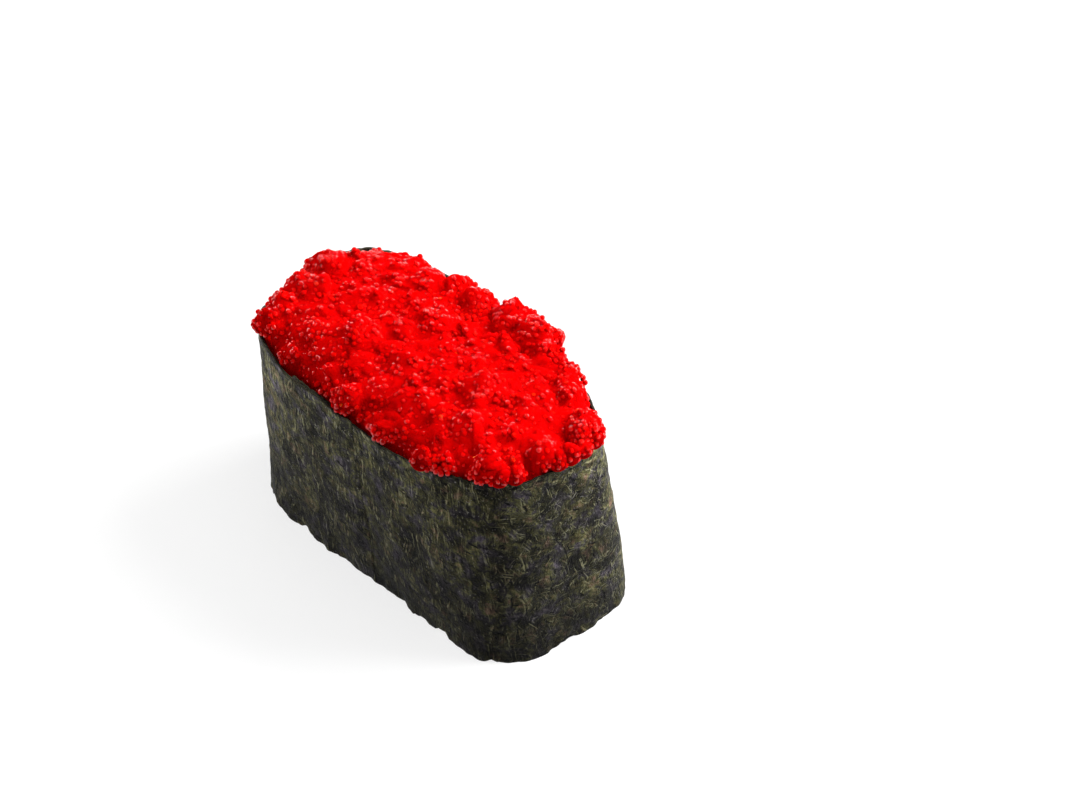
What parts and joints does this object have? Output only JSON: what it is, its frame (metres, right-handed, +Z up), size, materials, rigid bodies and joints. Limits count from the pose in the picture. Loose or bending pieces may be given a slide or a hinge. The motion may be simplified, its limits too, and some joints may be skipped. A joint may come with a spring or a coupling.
{
  "type": "gunkan sushi",
  "caption": "Oval gunkan sushi: a strip of dark nori wrapped upright round pressed rice and heaped with glossy red flying fish roe.",
  "frame": {"origin": "on the ground, under the middle of the whole piece's box", "axes": "+X along the piece's length, +Y across it, +Z up; the flap of the nori ends on the long side at -Y"},
  "size_m": [0.0511, 0.031, 0.0317],
  "materials": {
    "nori": "dry toasted seaweed sheet, mottled and fibrous, satin",
    "rice": "cooked short-grain rice, slightly moist",
    "roe": "small wet translucent red beads"
  },
  "bodies": {
    "root": {"nori": "nori", "rice": "rice", "roe": "roe"}
  },
  "joints": []
}
